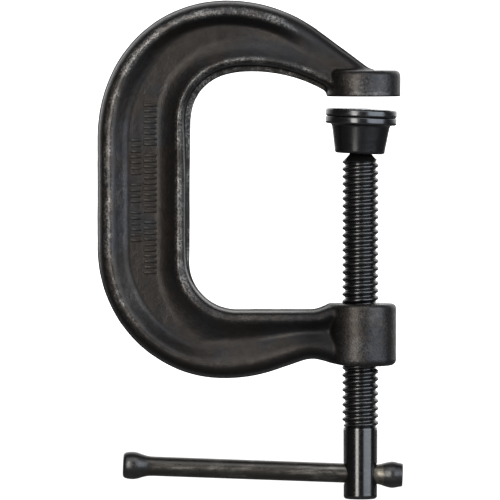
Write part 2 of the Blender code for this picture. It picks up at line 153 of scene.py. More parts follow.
# Camera, floor and lights, in metres and degrees
CAMERA_TARGET = Vector((-0.0381, 0.0, -0.05298))
CAMERA_DISTANCE, CAMERA_ELEVATION, VIEW_WIDTH = 2.2, 2.0, 0.1725
FLOOR_HALF, FLOOR_DROP = 6.0, 0.35
LIGHT_DISTANCE = 1.25
LIGHTS = (
    {
        "name": "cool_softbox",
        "azimuth": 49.5,
        "elevation": 12.0,
        "size": (1.3, 1.05),
        "radiance": 4.6,
        "colour": (0.84, 0.91, 1.0),
    },
    {
        "name": "warm_strip",
        "azimuth": -21.5,
        "elevation": 10.0,
        "size": (0.42, 1.14),
        "radiance": 10.8,
        "colour": (1.0, 0.97, 0.92),
    },
    {
        "name": "top_softbox",
        "azimuth": 0.0,
        "elevation": 55.0,
        "size": (1.3, 0.65),
        "radiance": 2.8,
        "colour": (0.94, 0.97, 1.0),
    },
)
WORLD_FADE = {"From Min": 0.16, "From Max": 0.85, "To Min": 0.006, "To Max": 1.8}


# --- numbers -------------------------------------------------------------------------------


def ease(value):
    """0 below 0, 1 above 1 and smooth between."""
    t = np.clip(value, 0.0, 1.0)
    return t * t * (3.0 - 2.0 * t)


def fade(value, start, end):
    """0 before the start, 1 past the end and smooth between. The end may be the lower one."""
    return ease((value - start) / (end - start))


def bevel(value):
    """0 below 0, 1 above 1 and straight between, but for a rounded corner at each end."""
    t = np.clip(value, 0.0, 1.0)
    corner = 0.36
    scale = 2.0 * corner * (1.0 - corner)
    straight = (t - 0.5 * corner) / (1.0 - corner)
    late = np.where(t > 1.0 - corner, 1.0 - (1.0 - t) ** 2 / scale, straight)
    return np.where(t < corner, t**2 / scale, late)


def soft_max(a, b, width):
    """The larger of two fields, with the corner where they cross rounded over that width."""
    return np.maximum(a, b) + np.maximum(width - np.abs(a - b), 0.0) ** 2 / (4.0 * width)


def soft_min(a, b, width):
    """The smaller of two fields, rounded in the same way."""
    return -soft_max(-a, -b, width)


def superellipse(centre, half_x, half_z, power, start, end, count):
    """Points along part of a superellipse, between two angles in degrees."""
    points = []
    for angle in np.radians(np.linspace(start, end, count)):
        across = math.copysign(abs(math.cos(angle)) ** (2.0 / power), math.cos(angle))
        up = math.copysign(abs(math.sin(angle)) ** (2.0 / power), math.sin(angle))
        points.append((centre[0] + half_x * across, centre[1] + half_z * up))
    return points


def arc(centre, radius, start, end, count):
    """Points along an arc, between two angles in degrees."""
    return superellipse(centre, radius, radius, 2.0, start, end, count)


def lattice_noise(points, size, seed):
    """Smooth noise from 0 to 1 at each point, with features about that size."""
    table = np.random.default_rng(seed).random((32, 32, 32))
    cell = points / size
    low = np.floor(cell).astype(int)
    t = ease(cell - low)
    total = 0.0
    for corner in np.ndindex(2, 2, 2):
        share = np.prod(np.where(corner, t, 1.0 - t), axis=1)
        total += share * table[tuple(((low + corner) % 32).T)]
    return total


# --- the forging's outline -----------------------------------------------------------------


def top_arm_outer_z(x):
    """The top arm's upper edge: a bend off the crown, then straight down to the anvil."""
    bend = math.sin(math.atan(-TOP_ARM_SLOPE)) * TOP_ARM_RADIUS
    run = x - CROWN[0]
    curved = CROWN[1] - TOP_ARM_RADIUS + np.sqrt(TOP_ARM_RADIUS**2 - np.minimum(run, bend) ** 2)
    slope_z = curved + TOP_ARM_SLOPE * np.maximum(run - bend, 0.0)
    return soft_max(slope_z, ANVIL["top"] - 0.7, 2.4)


def top_arm_inner_z(x):
    """The top arm's lower edge, one long arc that ends behind the anvil."""
    run = x - UPPER_INNER_CENTRE[0]
    centre_z = UPPER_INNER_TOP_Z - THROAT_ARM_RADIUS
    return np.maximum(centre_z + np.sqrt(THROAT_ARM_RADIUS**2 - run**2), 1.5)


def low_arm_outer_z(x):
    """The low arm's lower edge: up from the keel to the notch, then down to the boss's foot."""
    bend = math.sin(math.atan(KEEL_SLOPE)) * KEEL_RADIUS
    run = x - KEEL[0]
    curved = KEEL[1] + KEEL_RADIUS - np.sqrt(KEEL_RADIUS**2 - np.minimum(run, bend) ** 2)
    slope_z = curved + KEEL_SLOPE * np.maximum(run - bend, 0.0)
    foot_z = np.maximum(NOTCH[1] + FOOT_SLOPE * (x - NOTCH[0]), BOSS["bottom"] + 0.2)
    return soft_min(slope_z, foot_z, 1.6)


def low_arm_inner_z(x):
    """The low arm's upper edge: level, then ramped up to the boss's top."""
    ramp_z = LOWER_INNER_Z + FILLET_SLOPE * (x - FILLET_X)
    return np.minimum(soft_max(ramp_z, LOWER_INNER_Z, 0.9), BOSS["top"] - 0.3)


def quarter(centre, upright_x, level_z, power, start):
    """A quarter of a superellipse, between an upright edge on its left and a level one."""
    half_x, half_z = centre[0] - upright_x, abs(level_z - centre[1])
    return superellipse(centre, half_x, half_z, power, start, start + 90.0, OUTLINE_POINTS)


def outlines():
    """Points (x, z) along the C's outer and inner edges, from the anvil to the boss."""
    n = OUTLINE_POINTS
    upper_centre, lower_centre = (CROWN[0], UPPER_OUTER_CENTRE_Z), (KEEL[0], LOWER_OUTER_CENTRE_Z)
    x = np.linspace(TOP_ARM_END_X, CROWN[0], n)
    outer = list(zip(x, top_arm_outer_z(x)))
    outer += quarter(upper_centre, SPINE_OUTER_X, CROWN[1], UPPER_OUTER_POWER, 90.0)[1:]
    outer += quarter(lower_centre, SPINE_OUTER_X, KEEL[1], LOWER_OUTER_POWER, 180.0)
    x = np.linspace(KEEL[0], LOW_ARM_END_X, n)[1:]
    outer += list(zip(x, low_arm_outer_z(x)))
    x = np.linspace(TOP_ARM_END_X, UPPER_INNER_CENTRE[0], n)
    inner = list(zip(x, top_arm_inner_z(x)))
    inner += quarter(
        UPPER_INNER_CENTRE, SPINE_INNER_X, UPPER_INNER_TOP_Z, UPPER_INNER_POWER, 90.0
    )[1:]
    inner += arc(LOWER_INNER_CENTRE, LOWER_INNER_CENTRE[1] - LOWER_INNER_Z, 180.0, 270.0, n)
    x = np.linspace(LOWER_INNER_CENTRE[0], LOW_ARM_END_X, n)[1:]
    inner += list(zip(x, low_arm_inner_z(x)))
    return np.array(outer), np.array(inner)


def distance_to(line, points):
    """Each point's distance to a polyline."""
    start, along = line[:-1], np.diff(line, axis=0)
    square = (along**2).sum(1)
    found = []
    for some in np.array_split(points, max(1, len(points) // 4000)):
        offset = some[:, None] - start
        t = np.clip((offset * along).sum(2) / square, 0.0, 1.0)
        gap = offset - t[:, :, None] * along
        found.append(np.sqrt((gap**2).sum(2).min(1)))
    return np.concatenate(found)


def within(polygon, points):
    """Which points are in a closed polygon, by counting the edges above each."""
    x, z = points.T
    odd = np.zeros(len(points), bool)
    for (ax, az), (bx, bz) in zip(polygon, np.roll(polygon, -1, axis=0)):
        spans = (ax > x) != (bx > x)
        if spans.any():
            edge_z = az + (bz - az) * (x - ax) / (bx - ax if bx != ax else 1.0)
            odd ^= spans & (z < edge_z)
    return odd


class Grid:
    """Fields over (x, z), sampled once and read back by bilinear interpolation."""

    def __init__(self, xs, zs, *values):
        self.low = np.array([xs[0], zs[0]])
        self.step = xs[1] - xs[0]
        self.values = values

    def at(self, x, z):
        """Each field's values there."""
        columns, rows = self.values[0].shape
        u = np.clip((x - self.low[0]) / self.step, 0.0, columns - 1.001)
        v = np.clip((z - self.low[1]) / self.step, 0.0, rows - 1.001)
        i, j = u.astype(int), v.astype(int)
        u, v = u - i, v - j
        read = []
        for values in self.values:
            left = values[i, j] * (1 - v) + values[i, j + 1] * v
            right = values[i + 1, j] * (1 - v) + values[i + 1, j + 1] * v
            read.append(left * (1 - u) + right * u)
        return read


# --- the forging's surface, as a field that is negative inside ------------------------------

CELL_CORNERS = [np.array(corner) for corner in np.ndindex(2, 2, 2)]


def disc_field(x, y, z, disc):
    """An upright round disc with rounded rims."""
    middle, half = 0.5 * (disc["top"] + disc["bottom"]), 0.5 * (disc["top"] - disc["bottom"])
    rim = np.where(z > middle, disc["rounds"][0], disc["rounds"][1])
    across = np.hypot(x - disc["x"], y) - disc["radius"] + rim
    along = np.abs(z - middle) - half + rim
    outside = np.hypot(np.maximum(across, 0.0), np.maximum(along, 0.0))
    return outside + np.minimum(np.maximum(across, along), 0.0) - rim


def on_top_arm(x, z, start, end):
    """0 along most of the C, rising to 1 between two places along the top arm."""
    return fade(x, start, end) * fade(z, -4.0, 0.0)


def rib_top(x, z, from_outer, from_inner):
    """Half the forging's thickness away from its walls: two ribs with a sunk web between.

    Towards the anvil the web rises, the outer rib fades into it and the inner rib stays.
    """
    rise = on_top_arm(x, z, -42.0, -8.0)
    crown = fade(z, 8.0, 24.0)
    keel = fade(z, -62.0, -82.0)
    low_arm = keel * fade(x, -62.0, -38.0)
    web = WEB_HALF + ANVIL_WEB_RISE * rise
    web = web + BOSS_WEB_RISE * fade(x, -36.0, -18.0) * (z < -60.0)
    # The coves share the room between the ribs where it is too narrow for their full widths
    room = np.maximum(from_outer + from_inner - OUTER_RIB - INNER_RIB, NARROWEST_ROOM)
    outer_cove = OUTER_COVE - 2.2 * crown + 5.0 * low_arm
    outer_cove = np.minimum(outer_cove, (0.55 + 0.14 * low_arm) * room)
    inner_cove = np.minimum(INNER_COVE + 2.0 * keel, (0.58 - 0.06 * low_arm) * room)
    outer = 1.0 - bevel((from_outer - OUTER_RIB) / outer_cove)
    inner = 1.0 - ease(np.clip((from_inner - INNER_RIB) / inner_cove, 0.0, 1.0) ** INNER_SWEEP)
    outer = outer * (1.0 - on_top_arm(x, z, -29.0, -13.0))
    rib_height = RIB_HALF - ANVIL_RIB_DROP * rise - web
    return web + rib_height * (1.0 - (1.0 - outer) * (1.0 - inner))


def c_field(x, y, z, from_outer, from_inner):
    """The drafted, ribbed C with a trimmed lip of flash along its parting line."""
    thick = np.abs(y)
    top = (thick - rib_top(x, z, from_outer, from_inner)) / 1.15
    upper = fade(z, -30.0, 0.0)
    lower = fade(z, -50.0, -70.0)
    lip = INNER_LIP + 0.6 * upper - 0.72 * lower
    spread = 0.25 * upper * (1.0 - 2.0 * on_top_arm(x, z, -40.0, -12.0))
    lip_edge = from_inner + LIP_OUT + spread - 0.32 * lower
    cos, sin = math.cos(DRAFT), math.sin(DRAFT)
    outer_wall = thick * sin - (from_outer - OUTER_LIP) * cos
    inner_wall = thick * sin - (from_inner - lip) * cos
    body = soft_max(top, outer_wall, OUTER_ROUND)
    body = soft_max(body, inner_wall, INNER_ROUND)
    flash = soft_max(thick - LIP_HALF, -np.minimum(from_outer, lip_edge), LIP_ROUND)
    return soft_min(body, flash, 0.7)


def forging_field(x, y, z, from_outer, from_inner):
    """The C joined with the anvil and with the boss, whose foot slopes up to the left."""
    field = c_field(x, y, z, from_outer, from_inner)
    field = soft_min(field, disc_field(x, y, z, ANVIL), ANVIL_FILLET)
    foot_z = NOTCH[1] + FOOT_SLOPE * (x - NOTCH[0])
    boss = soft_max(disc_field(x, y, z, BOSS), (foot_z - z) * (x < 0.0) - 4.0 * (x >= 0.0), 1.0)
    return soft_min(field, boss, BOSS_FILLET)


def crossed_cells(inside):
    """The grid's cells that the surface runs through: some of their corners are in, some out."""
    shape = np.array(inside.shape) - 1
    count = np.zeros(shape, np.int8)
    for corner in CELL_CORNERS:
        count += inside[tuple(slice(c, c + n) for c, n in zip(corner, shape))]
    return np.argwhere((count > 0) & (count < len(CELL_CORNERS)))


def cell_points(field, cells):
    """Each cell's point, in the middle of the places where the surface crosses its edges."""
    total, hits = np.zeros((len(cells), 3)), np.zeros(len(cells))
    for corner in CELL_CORNERS:
        here = field[tuple((cells + corner).T)]
        for axis in np.flatnonzero(corner == 0):
            far = corner.copy()
            far[axis] = 1
            there = field[tuple((cells + far).T)]
            crosses = (here < 0.0) != (there < 0.0)
            share = np.where(crosses, here / np.where(crosses, here - there, 1.0), 0.0)
            total += crosses[:, None] * corner
            total[:, axis] += share
            hits += crosses
    return cells + total / hits[:, None]


def cell_quads(inside, index):
    """A quad for each grid edge that the surface crosses, joining the four cells round it."""
    quads = []
    for axis in range(3):
        others = [k for k in range(3) if k != axis]
        u, v = np.eye(3, dtype=int)[[(axis + 1) % 3, (axis + 2) % 3]]
        ahead = np.moveaxis(inside, axis, 0)
        edges = np.argwhere(ahead[:-1] != ahead[1:])
        spots = np.empty_like(edges)
        spots[:, [axis] + others] = edges
        ring = [index[tuple((spots - back).T)] for back in (u + v, v, 0 * u, u)]
        quad = np.stack(ring, axis=1)
        leaves = inside[tuple(spots.T)]
        quads.append(np.where(leaves[:, None], quad, quad[:, ::-1]))
    return np.concatenate(quads)


def surface_nets(field, low, step):
    """Points and quads on a sampled field's zero level, facing outwards."""
    inside = field < 0.0
    cells = crossed_cells(inside)
    index = np.full(np.array(field.shape) - 1, -1)
    index[tuple(cells.T)] = np.arange(len(cells))
    return low + step * cell_points(field, cells), cell_quads(inside, index)


def edge_distances(xs, zs):
    """How far each place in the C's plane is in from its outer and from its inner edge."""
    outer, inner = outlines()
    flat = np.stack(np.meshgrid(xs, zs, indexing="ij"), axis=-1).reshape(-1, 2)
    to_outer, to_inner = distance_to(outer, flat), distance_to(inner, flat)
    outside = ~within(np.concatenate([outer, inner[::-1]]), flat)
    nearer_outer = to_outer < to_inner
    arm_end = np.where(flat[:, 1] > -40.0, TOP_ARM_END_X, LOW_ARM_END_X)
    beyond = flat[:, 0] > arm_end
    to_outer[outside & (nearer_outer | beyond)] *= -1.0
    to_inner[outside & (~nearer_outer | beyond)] *= -1.0
    shape = (len(xs), len(zs))
    return Grid(xs, zs, to_outer.reshape(shape), to_inner.reshape(shape))


def onto_surface(field, points):
    """Moves points onto a field's zero level, and finds the normal at each."""
    steps = SLOPE_STEP * np.eye(3)
    for _ in range(MOVES):
        rises = [field(points + step) - field(points - step) for step in steps]
        slope = np.stack([rise / (2.0 * SLOPE_STEP) for rise in rises], axis=1)
        size = np.maximum((slope**2).sum(1), 0.2)
        move = np.clip(field(points) / size, -LONGEST_MOVE, LONGEST_MOVE)
        points = points - move[:, None] * slope
    return points, slope / np.linalg.norm(slope, axis=1)[:, None]


def uneven(points, normal):
    """Points moved by the forging's unevenness, which the anvil's ground face doesn't have."""
    z = points[:, 2]
    wave = lattice_noise(points, 7.0, 3) + 0.6 * lattice_noise(points, 2.6, 4) - 0.8
    off_face = np.minimum(fade(z, 0.4, 1.0) + (z < -1.0), 1.0)
    return points + WAVE_DEPTH * (wave * off_face)[:, None] * normal


def forging_surface():
    """The forging's points and quads, its rubbed mask and its mask of painted shade."""
    low = np.array([SPINE_OUTER_X, -ANVIL["radius"], KEEL[1]]) - NET_MARGIN
    high = np.array([ANVIL["x"] + ANVIL["radius"], ANVIL["radius"], CROWN[1]]) + NET_MARGIN
    xs, ys, zs = [np.arange(a, b, NET_PITCH) for a, b in zip(low, high)]
    edges = edge_distances(xs, zs)

    def field(points):
        x, y, z = points.T
        return forging_field(x, y, z, *edges.at(x, z))

    across_y = [values[:, None, :] for values in edges.values]
    sampled = forging_field(xs[:, None, None], ys[None, :, None], zs[None, None, :], *across_y)
    points, quads = surface_nets(sampled, low, NET_PITCH)
    points, normal = onto_surface(field, points)
    points = uneven(points, normal)
    # How hollow each point is, felt that far out along its normal, for the painted shade in hollows
    cavity = 1.0 - field(points + SHADE_REACH * normal) / SHADE_REACH
    return points, quads, rubbed(points, edges), shade_amount(points, edges, cavity)


def rubbed(points, edges):
    """How far each point is rubbed bright: the ribs' crests, the flash and the round sides."""
    x, y, z = points.T
    edge_out, edge_in = edges.at(x, z)
    thick = np.abs(y)
    crest = fade(thick, 6.0, 7.2)
    outer = 0.8 * crest * fade(edge_out, 5.8, 4.2) * fade(edge_out, 1.6, 2.6)
    outer = outer * (1.0 - on_top_arm(x, z, -24.0, -16.0)) * fade(z, -86.0, -72.0)
    inner = 0.72 * crest * fade(edge_in, 5.2, 3.9) * fade(edge_in, 1.0, 1.9)
    inner = inner * (1.0 - 0.8 * fade(z, -64.0, -72.0))
    lip = 0.6 * fade(thick, 2.1, 1.5) * fade(edge_in, 1.8, 1.2)
    slope = 0.17 * fade(edge_out, 5.6, 6.8) * fade(edge_out, 11.0, 9.0)
    slope = slope * fade(z, -4.0, -16.0) * fade(z, -84.0, -72.0)
    crests = np.maximum.reduce([outer, inner, lip, slope]) * fade(x, -10.0, -14.0)
    round_side = (disc_field(x, y, z, ANVIL) < 0.6) | (disc_field(x, y, z, BOSS) < 0.6)
    side = 0.14 * round_side * fade(thick, 6.0, 11.0)
    rim = 0.4 * (x > -14.0) * fade(np.abs(z - 0.8), 1.1, 0.5) * fade(thick, 7.0, 11.0)
    mask = np.maximum.reduce([crests, side, rim])
    patches = lattice_noise(points, 5.0, 7) + 0.7 * lattice_noise(points, 1.6, 8)
    return np.clip(mask * (0.12 + 0.95 * fade(patches, 0.5, 1.25)), 0.0, 1.0)


def shade_amount(points, edges, cavity):
    """How much painted shade each point gets: in the inner rib's hollow and along the low arm's last
    stretch by the boss, and darker along the top arm's last stretch by the anvil.
    """
    x, y, z = points.T
    edge_out, edge_in = edges.at(x, z)
    inward = np.maximum(fade(edge_out - edge_in, -5.0, 3.0), fade(z, -60.0, -72.0))
    # Painted shade in hollows, where the forging's own sides hide the light
    hollow = fade(cavity, 0.04, 0.44) * inward
    # Painted shade in the low arm's corner by the boss
    low_arm = 0.9 * fade(x, -27.0, -16.0) * fade(x, -5.5, -8.5) * (z < -70.0)
    # Darker along the top arm's last stretch by the anvil
    top_arm = 0.42 * fade(x, -36.0, -22.0) * (z > 9.0) * (x < 1.0)
    return np.maximum.reduce([hollow, low_arm, top_arm])


# --- mesh helpers --------------------------------------------------------------------------


def new_object(name, data):
    """An object in the scene with that data, which is a mesh, a light or a camera."""
    obj = bpy.data.objects.new(name, data)
    bpy.context.scene.collection.objects.link(obj)
    return obj


def mesh_object(name, points, faces):
    """A mesh from points in millimetres."""
    mesh = bpy.data.meshes.new(name)
    mesh.from_pydata((np.asarray(points) * MM).tolist(), [], np.asarray(faces).tolist())
    mesh.update()
    return new_object(name, mesh)


def from_bmesh(name, bm):
    """An object from a bmesh, with its faces turned to face out."""
    bmesh.ops.recalc_face_normals(bm, faces=bm.faces)
    mesh = bpy.data.meshes.new(name)
    bm.to_mesh(mesh)
    bm.free()
    return new_object(name, mesh)


def lay(obj, z, turn):
    """Moves a piece, made round its own Z, to a height on the screw's axis and turns it about Y."""
    move = Matrix.Translation((0.0, 0.0, z * MM))
    obj.matrix_world = move @ Matrix.Rotation(turn, 4, "Y")
    bpy.context.view_layer.update()
    return obj


def soften(profile):
    """Cuts a profile's corners, and then the new ones, keeping its ends."""
    points = np.array(profile, float)
    for _ in range(2):
        near = 0.75 * points[:-1] + 0.25 * points[1:]
        far = 0.25 * points[:-1] + 0.75 * points[1:]
        middle = np.stack([near, far], axis=1).reshape(-1, 2)[1:-1]
        points = np.concatenate([points[:1], middle, points[-1:]])
    return [tuple(p) for p in points]


def turned(name, profile, steps=96, closed=False):
    """A lathe shape round Z from (radius, z) points. Ends on the axis close with a fan."""
    bm = bmesh.new()
    rings = []
    for radius, z in profile:
        if radius < 1e-6:
            rings.append([bm.verts.new((0.0, 0.0, z * MM))])
            continue
        angles = [math.tau * k / steps for k in range(steps)]
        spot = [(radius * math.cos(a), radius * math.sin(a), z) for a in angles]
        rings.append([bm.verts.new([c * MM for c in p]) for p in spot])
    pairs = list(zip(rings, rings[1:]))
    if closed:
        pairs.append((rings[-1], rings[0]))
    for a, b in pairs:
        for k in range(steps):
            j = (k + 1) % steps
            corners = [a[k % len(a)], a[j % len(a)], b[j % len(b)], b[k % len(b)]]
            bm.faces.new(list(dict.fromkeys(corners)))
    return from_bmesh(name, bm)


def tooth_radius(z, gap):
    """The thread's radius at a height from a tooth's middle: worn round, and full at its crest."""
    turn = math.tau * z / PITCH
    square = TOOTH_SQUARENESS * (np.cos(turn) - np.cos(3.0 * turn))
    wave = 0.5 + 0.5 * (np.cos(turn) + square)
    rise = wave * (1.0 + CREST_FULLNESS * (1.0 - wave))
    return ROOT_RADIUS + gap + (CREST_RADIUS - ROOT_RADIUS) * rise


def close_ends(bm, middle_z):
    """Closes an open rod, above and below its middle, with a fan round a point on the axis."""
    edges = [edge for edge in bm.edges if edge.is_boundary]
    for low_end in (True, False):
        mine = [e for e in edges if (e.verts[0].co.z < middle_z * MM) == low_end]
        levels = [v.co.z for e in mine for v in e.verts]
        hub = bm.verts.new((0.0, 0.0, 0.5 * (min(levels) + max(levels))))
        for edge in mine:
            bm.faces.new((edge.verts[0], edge.verts[1], hub))


def threaded_rod(name, top, bottom, gap=0.0):
    """A closed rod with a right-hand thread, in phase with every other such rod."""
    turns = math.ceil((top - bottom) / PITCH)
    first = THREAD_PHASE + PITCH * math.floor((bottom - THREAD_PHASE) / PITCH)
    heights = np.linspace(-0.5, 0.5, TOOTH_STEPS + 1)[:-1] * PITCH
    radii = tooth_radius(heights, gap)
    around = np.arange(TURN_STEPS * (turns + 1) + 1)
    angle = math.tau * around / TURN_STEPS
    z = first + PITCH * around[:, None] / TURN_STEPS + heights
    x = np.cos(angle)[:, None] * radii
    y = np.sin(angle)[:, None] * radii
    points = np.stack([x, y, z], axis=-1).reshape(-1, 3)
    bm = bmesh.new()
    verts = [bm.verts.new(p * MM) for p in points]

    def vert(i, j):
        return verts[(i + TURN_STEPS) * TOOTH_STEPS if j == TOOTH_STEPS else i * TOOTH_STEPS + j]

    for i in range(TURN_STEPS * turns):
        for j in range(TOOTH_STEPS):
            bm.faces.new((vert(i, j), vert(i + 1, j), vert(i + 1, j + 1), vert(i, j + 1)))
    bmesh.ops.delete(bm, geom=[v for v in bm.verts if not v.link_faces], context="VERTS")
    close_ends(bm, 0.5 * (top + bottom))
    return from_bmesh(name, bm)


def combine(obj, other, operation):
    """Applies a boolean and removes the other solid."""
    cut = obj.modifiers.new(operation.lower(), "BOOLEAN")
    cut.operation = operation
    cut.object = other
    cut.solver = "MANIFOLD"
    bpy.context.view_layer.update()
    evaluated = obj.evaluated_get(bpy.context.evaluated_depsgraph_get())
    mesh = bpy.data.meshes.new_from_object(evaluated)
    obj.modifiers.clear()
    old, obj.data = obj.data, mesh
    mesh.name = old.name
    bpy.data.meshes.remove(old)
    bpy.data.objects.remove(other)


def settle(obj, material, body, node, sharp):
    """Shades a piece, sharp past that angle, paints it and puts it in its CAD node's place."""
    obj.data.transform(obj.matrix_world)
    obj.matrix_world = Matrix.Identity(4)
    obj.data.materials.clear()
    obj.data.materials.append(material)
    obj.data.shade_smooth()
    obj.data.set_sharp_from_angle(angle=math.radians(sharp))
    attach(obj, body)
    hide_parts(node)
    return obj


# --- pieces --------------------------------------------------------------------------------


def build_forging(material):
    """The C, the anvil and the boss in one, tapped right through the boss."""
    points, quads, rub, shade_mask = forging_surface()
    forging = mesh_object("forging", points, quads)
    # The rubbed mask, and the mask of painted shade
    for name, values in (("rub", rub), ("shade_mask", shade_mask)):
        attribute = forging.data.attributes.new(name, "FLOAT", "POINT")
        attribute.data.foreach_set("value", values.astype(np.float32))
    past = 2 * PITCH
    tap = threaded_rod("tap", BOSS["top"] + past, BOSS["bottom"] - past, NUT_RADIAL_GAP)
    combine(forging, tap, "DIFFERENCE")
    return settle(forging, material, "frame", "frame", 50.0)


def relief_bar(bm, x, z, length):
    """A low bar with round ends and edges, lying along X on the web and facing -Y."""
    rings = []
    # Each ring is in from the outline by an inset, and up by a share of the bar's height
    for inset, share in ((0.0, 0.0), (0.02, 0.6), (0.1, 0.88), (0.26, 1.0)):
        radius = 0.5 * TICK_WIDTH - inset
        reach = 0.5 * (length - TICK_WIDTH)
        y = -(WEB_HALF - TICK_ROOT + share * (TICK_ROOT + TICK_HEIGHT))
        ring = []
        for step in range(TICK_CORNERS):
            angle = math.tau * (step + 0.5) / TICK_CORNERS
            side = x + math.copysign(reach, math.cos(angle)) + radius * math.cos(angle)
            ring.append(bm.verts.new((side * MM, y * MM, (z + radius * math.sin(angle)) * MM)))
        rings.append(ring)
    for a, b in zip(rings, rings[1:]):
        for k in range(TICK_CORNERS):
            j = (k + 1) % TICK_CORNERS
            bm.faces.new((a[k], a[j], b[j], b[k]))
    bm.faces.new(rings[0])
    bm.faces.new(rings[-1])


def build_ticks(material):
    """Two rows of plain raised bars on the web."""
    bm = bmesh.new()
    for row in TICK_ROWS:
        for step in range(row["count"]):
            if step not in row["gaps"]:
                z = row["top"] - TICK_PITCH * step
                relief_bar(bm, row["x"], z, row["length"])
    ticks = from_bmesh("relief_ticks", bm)
    return settle(ticks, material, "frame", "frame", 35.0)


def screw_core():
    """The turned screw without its thread: tip, groove, neck, core and head."""
    profile = arc((0.0, PIVOT_Z), TIP_RADIUS, 90.0, -14.1, 16)
    profile[0] = (0.0, PIVOT_Z + TIP_RADIUS)
    profile += [
        (GROOVE_RADIUS, GROOVE_TOP_Z),
        (GROOVE_RADIUS, GROOVE_BOTTOM_Z),
        (NECK_RADIUS, GROOVE_BOTTOM_Z),
        (NECK_RADIUS, NECK_BOTTOM_Z),
        (CORE_RADIUS, NECK_BOTTOM_Z - 1.45),
        (CORE_RADIUS, HEAD_TOP_Z + 0.8),
        (HEAD_RADIUS - 0.25, HEAD_TOP_Z),
        (HEAD_RADIUS - 0.05, HEAD_TOP_Z - 0.15),
        (HEAD_RADIUS, HEAD_TOP_Z - 0.4),
        (HEAD_RADIUS - 0.005, HEAD_TOP_Z - 1.0),
        (HEAD_RADIUS - 0.085, HEAD_BOTTOM_Z + 1.3),
        (HEAD_RADIUS - 0.09, HEAD_BOTTOM_Z + 0.7),
        (HEAD_RADIUS - 0.35, HEAD_BOTTOM_Z + 0.3),
        (HEAD_RADIUS - 0.65, HEAD_BOTTOM_Z + 0.05),
        (HEAD_RADIUS - 0.95, HEAD_BOTTOM_Z),
        (0.0, HEAD_BOTTOM_Z),
    ]
    return turned("clamp_screw", profile)


def screw_thread():
    """The screw's thread, run out in a cone at each end."""
    top, bottom = NECK_BOTTOM_Z - 0.05, HEAD_TOP_Z - 0.4
    thread = threaded_rod("thread", NECK_BOTTOM_Z + PITCH, HEAD_TOP_Z - 2 * PITCH)
    profile = [
        (0.0, top),
        (NECK_RADIUS - 0.2, top),
        (THREAD_CLEAR_RADIUS, top - 3.1),
        (THREAD_CLEAR_RADIUS, bottom + 1.9),
        (CORE_RADIUS - 0.1, bottom),
        (0.0, bottom),
    ]
    combine(thread, turned("envelope", profile), "INTERSECT")
    return thread


def cross_hole():
    """A cutter for the bar's hole, which flares a little at both ends."""
    flare = [(0.6, 8.0), (0.2, 5.7), (0.0, 5.0)]
    upper = [(HOLE_RADIUS + wider, z) for wider, z in flare]
    lower = [(radius, -z) for radius, z in reversed(upper)]
    profile = [(0.0, 8.0)] + upper + lower + [(0.0, -8.0)]
    return lay(turned("hole", profile, 64), BAR_Z, math.pi / 2)


def build_screw(material):
    """The screw, turned and threaded, with the bar's hole through its head."""
    screw = screw_core()
    combine(screw, screw_thread(), "UNION")
    combine(screw, cross_hole(), "DIFFERENCE")
    return settle(screw, material, "screw", "screw", 38.0)


def build_pad(material):
    """The pad's body: its rim's lower bead, its skirt and the socket that the tip sits in."""
    top, bottom = PIVOT_DROP, PIVOT_DROP - PAD_HEIGHT
    profile = [(SOCKET_RADIUS, top - 2.57), (11.75, top - 2.57)]
    profile += arc((11.75, top - 3.15), 0.58, 80.0, 0.0, 9)
    profile += arc((11.53, top - 4.35), 0.8, 0.0, -85.0, 9)
    shoulder = [(11.4, -5.15), (10.45, -5.25), (10.05, -5.6), (9.9, -6.6)]
    profile += soften([(radius, top + z) for radius, z in shoulder])[1:]
    profile += [(9.8, top - 7.05), (8.76, bottom + 1.55)]
    profile += arc((7.67, bottom + 1.0), 1.0, -5.0, -90.0, 9)
    profile += [
        (PAD_MOUTH_RADIUS + 0.2, bottom),
        (PAD_MOUTH_RADIUS, bottom + 0.2),
        (PAD_MOUTH_RADIUS, top - 11.0),
        (SOCKET_RADIUS, top - 11.0),
    ]
    body = lay(turned("swivel_pad", profile, 128, closed=True), PIVOT_Z, PAD_TILT)
    return settle(body, material, "pad", "pad_body", 38.0)


def build_pad_face(material):
    """The plate that closes the socket: its face is a low dome, and its side the upper bead."""
    top = PIVOT_DROP
    dome = [(0.0, 0.6), (3.0, 0.52), (6.0, 0.4), (8.5, 0.29), (10.4, 0.18), (11.1, 0.12)]
    profile = [(radius, top + z) for radius, z in dome]
    profile += arc((11.43, top - 0.78), 0.9, 75.0, 0.0, 9)
    profile += arc((11.68, top - 1.85), 0.65, 0.0, -80.0, 9)
    profile += [(11.7, top - 2.54), (6.5, top - 2.54), (6.5, top - 3.5), (0.0, top - 3.5)]
    plate = lay(turned("pad_face", profile, 128), PIVOT_Z, PAD_TILT)
    return settle(plate, material, "pad", "pad_face_plate", 38.0)


def build_bar(material):
    """The bar with both its knobs, which are upset from it: the right one is the smaller."""
    right_knob = [(3.6, 0.0), (3.95, -0.1), (4.2, -1.6), (4.6, -3.2), (4.45, -4.8), (3.8, -7.0)]
    right_knob += [(BAR_RADIUS + 0.1, -8.2), (BAR_RADIUS, -9.4), (BAR_RADIUS, -14.0)]
    left_knob = [(BAR_RADIUS, 14.0), (BAR_RADIUS, 11.0), (3.45, 8.6), (4.0, 6.6), (4.6, 4.9)]
    left_knob += [(4.8, 3.2), (4.6, 1.2), (4.0, 0.1), (3.0, 0.0)]
    profile = [(0.0, BAR_RIGHT)]
    profile += soften([(radius, BAR_RIGHT + z) for radius, z in right_knob])
    profile += soften([(radius, BAR_LEFT + z) for radius, z in left_knob])
    profile += [(0.0, BAR_LEFT)]
    handle = lay(turned("t_bar", profile, 64), BAR_Z, math.pi / 2 + BAR_TILT)
    return settle(handle, material, "handle", "handle_bar", 35.0)


# --- materials -----------------------------------------------------------------------------


